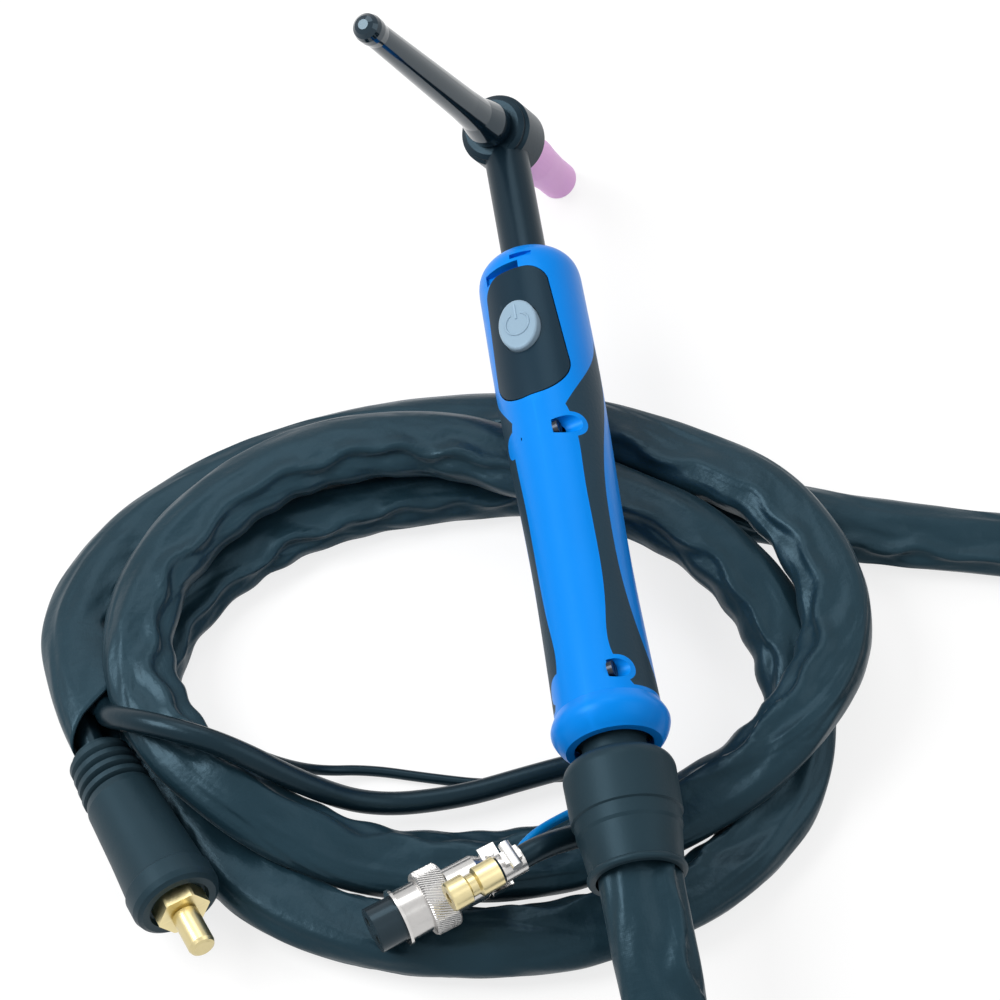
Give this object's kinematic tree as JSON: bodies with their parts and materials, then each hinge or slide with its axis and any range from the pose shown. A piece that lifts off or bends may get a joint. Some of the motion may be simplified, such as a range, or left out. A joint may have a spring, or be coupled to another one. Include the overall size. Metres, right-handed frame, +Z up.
{
  "type": "tig welding torch",
  "caption": "Gas-cooled TIG torch: swivel-jointed handle with a push switch, angled head with ceramic cup and long back cap, and a coiled sleeved cable set with its plugs.",
  "frame": {"origin": "centre of the torch's own outline (without its cables) at floor level", "axes": "+Y from the cable boot towards the head, +Z up, +X to the right of the handle seen from the boot"},
  "size_m": [0.5633, 0.4514, 0.1622],
  "materials": {
    "handle_shell": "satin blue moulded plastic",
    "inlay": "dark grey soft grip",
    "switch_plastic": "dark grey plastic",
    "button": "light grey plastic",
    "head_rubber": "black moulded rubber",
    "cap_plastic": "black plastic",
    "gasket_white": "white insulator",
    "cup_ceramic": "pink alumina",
    "copper": "bare copper",
    "tungsten": "ground tungsten",
    "brass": "bare brass",
    "nickel": "nickel plated",
    "steel": "plated steel",
    "dark_screw": "blackened steel",
    "boot_rubber": "black moulded rubber",
    "sleeve": "blue-black woven sleeve",
    "cable_jacket": "black cable jacket",
    "blue_lead": "blue insulation",
    "black_plastic": "black plastic"
  },
  "bodies": {
    "cable_set": {"knuckle_boot": "boot_rubber", "sleeve_lead": "sleeve", "sleeve_stored_coil": "sleeve", "sleeve_link": "sleeve", "sleeve_coil": "sleeve", "power_cable_tail": "cable_jacket", "plug_boot": "boot_rubber", "plug_core": "brass", "plug_pin": "brass", "gas_hose_tail": "cable_jacket", "hose_clamp": "nickel", "clamp_screw": "steel", "gas_nipple": "brass", "switch_cable": "cable_jacket", "switch_lead_end": "blue_lead", "connector_shell": "nickel", "cable_saddle": "nickel", "saddle_screws": "steel", "connector_sleeve": "nickel", "connector_insert": "black_plastic", "connector_sockets": "brass"},
    "handle": {"head_insulation": "head_rubber", "head_core": "copper", "neck_tube": "copper", "collet_body": "copper", "collet": "copper", "left_inlay": "inlay", "left_shell": "handle_shell", "right_inlay": "inlay", "right_shell": "handle_shell", "handle_screws": "dark_screw", "switch_cover": "switch_plastic", "microswitch": "black_plastic", "torch_fitting": "brass", "power_cable_front": "cable_jacket", "gas_hose_front": "cable_jacket", "switch_leads": "cable_jacket"},
    "ball_seat": {"knuckle_seat": "black_plastic"},
    "button": {"button": "button"},
    "plunger": {"switch_plunger": "black_plastic"},
    "cap_ring": {"back_cap_oring": "head_rubber"},
    "cap": {"back_cap": "cap_plastic"},
    "cup_ring": {"cup_gasket": "gasket_white"},
    "cup": {"nozzle": "cup_ceramic"},
    "electrode": {"electrode": "tungsten"},
    "nut": {"coupling_ring": "nickel"}
  },
  "joints": [
    {"name": "knuckle_swing", "type": "hinge", "parent": "cable_set", "child": "ball_seat", "pos_m": [0.01185, -0.10316, 0.05375], "axis": [0, 0, 1], "range_deg": [-8, 8]},
    {"name": "knuckle_tilt", "type": "hinge", "parent": "ball_seat", "child": "handle", "pos_m": [0.01185, -0.10316, 0.05375], "axis": [1, 0, 0], "range_deg": [0, 8]},
    {"name": "button_press", "type": "slide", "parent": "handle", "child": "button", "axis": [0.4274, 0, -0.9041], "range_m": [0, 0.0012], "stiffness_N_per_m": 900, "springref_m": -0.001},
    {"name": "plunger_press", "type": "slide", "parent": "handle", "child": "plunger", "axis": [0.4274, 0, -0.9041], "range_m": [0, 0.0012]},
    {"name": "cap_turn", "type": "hinge", "parent": "handle", "child": "cap_ring", "pos_m": [0.01185, 0.13784, 0.05375], "axis": [-0.4128, -0.2588, 0.8733], "range_deg": [0, 2600]},
    {"name": "cap_travel", "type": "slide", "parent": "cap_ring", "child": "cap", "axis": [-0.4128, -0.2588, 0.8733], "range_m": [0, 0.00576]},
    {"name": "cup_turn", "type": "hinge", "parent": "handle", "child": "cup_ring", "pos_m": [0.01185, 0.13784, 0.05375], "axis": [0.4128, 0.2588, -0.8733], "range_deg": [0, 2600]},
    {"name": "cup_travel", "type": "slide", "parent": "cup_ring", "child": "cup", "axis": [0.4128, 0.2588, -0.8733], "range_m": [0, 0.00726]},
    {"name": "electrode_slide", "type": "slide", "parent": "handle", "child": "electrode", "axis": [0.4128, 0.2588, -0.8733], "range_m": [-0.006, 0.012]},
    {"name": "nut_spin", "type": "hinge", "parent": "cable_set", "child": "nut", "pos_m": [-0.05095, -0.14593, 0.0278], "axis": [-0.9336, -0.3584, 0], "continuous": true}
  ],
  "couplings": [
    {"joint": "plunger_press", "follows": "button_press", "ratio": 1},
    {"joint": "cap_turn", "follows": "cap_travel", "rad_per_m": 7874},
    {"joint": "cup_turn", "follows": "cup_travel", "rad_per_m": 6250}
  ]
}
